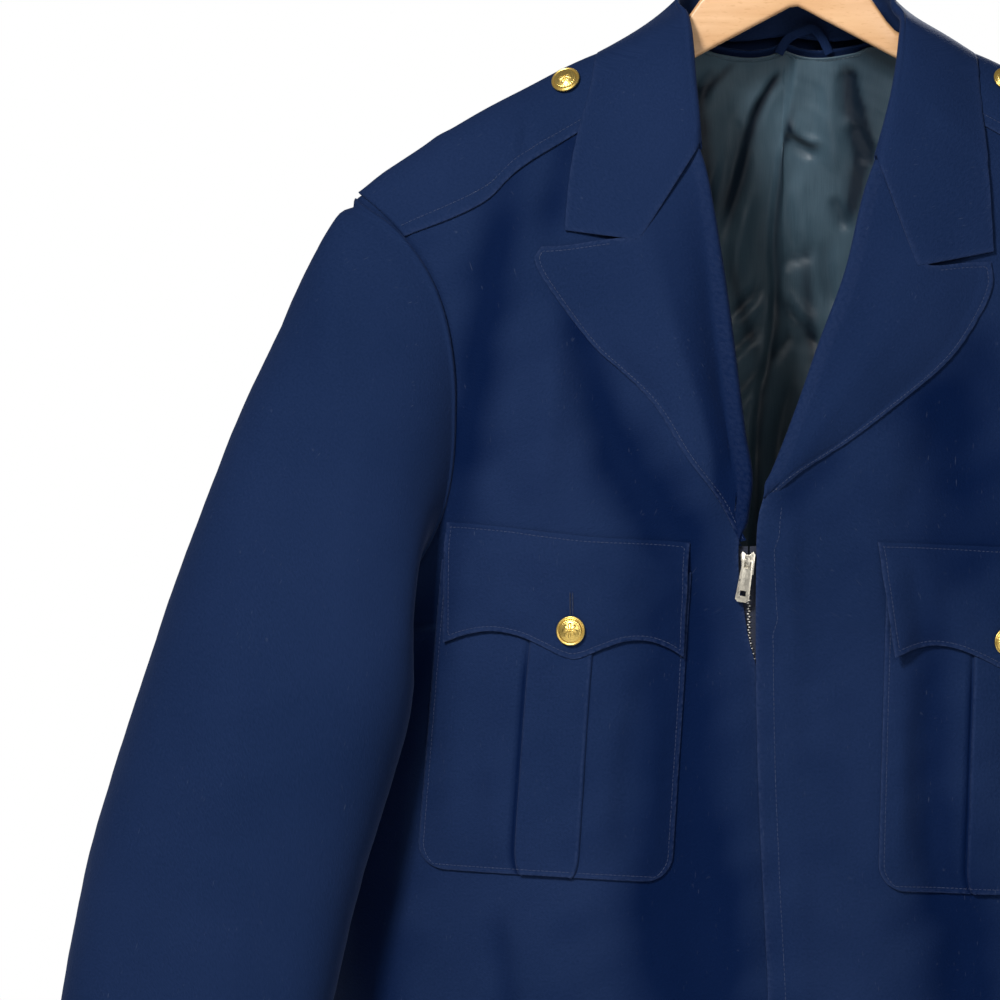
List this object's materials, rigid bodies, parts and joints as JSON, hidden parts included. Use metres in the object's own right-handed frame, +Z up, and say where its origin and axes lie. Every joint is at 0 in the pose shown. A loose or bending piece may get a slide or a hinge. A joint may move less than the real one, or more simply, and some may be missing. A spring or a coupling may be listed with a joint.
{
  "type": "military uniform jacket on a wooden hanger",
  "caption": "Zip-front uniform jacket with notched lapels, shoulder straps and flapped chest pockets, hanging on a wooden hanger.",
  "frame": {"origin": "the place at the top of the hook's inside where it bears on a rod", "axes": "+Z up, the front faces -Y, +X towards the wearer's left"},
  "size_m": [0.8358, 0.1561, 0.8459],
  "materials": {
    "wool": "matt navy wool gabardine with a fine twill, light nap and lint",
    "lining": "slate green satin lining with crumpled folds",
    "zip_tape": "dark navy woven zip tape",
    "gilt": "gilt pressed metal",
    "zip_metal": "worn nickel",
    "wood": "clear satin lacquer on pale beech",
    "steel": "bright plated wire"
  },
  "bodies": {
    "jacket": {"front_right": "wool", "front_left": "wool", "back": "wool", "sleeve_right": "wool", "sleeve_left": "wool", "collar_fall": "wool", "collar_stand": "wool", "lapel_right": "wool", "lapel_left": "wool", "epaulette_right": "wool", "epaulette_left": "wool", "pocket_right": "wool", "pocket_left": "wool", "flap_right": "wool", "flap_left": "wool", "hanger_loop": "wool", "lining_back": "lining", "zip_tape_right": "zip_tape", "zip_tape_left": "zip_tape", "flap_button_right": "gilt", "flap_button_left": "gilt", "strap_button_right": "gilt", "strap_button_left": "gilt", "zip_slider": "zip_metal", "hanger": "wood", "hook": "steel"},
    "pull_tab": {"pull_tab": "zip_metal"}
  },
  "joints": [
    {"name": "pull_tab_hinge", "type": "hinge", "parent": "jacket", "child": "pull_tab", "pos_m": [-0.02268, -0.07518, -0.41025], "axis": [-0.9867, 0.042, 0.157], "range_deg": [0, 170]}
  ]
}
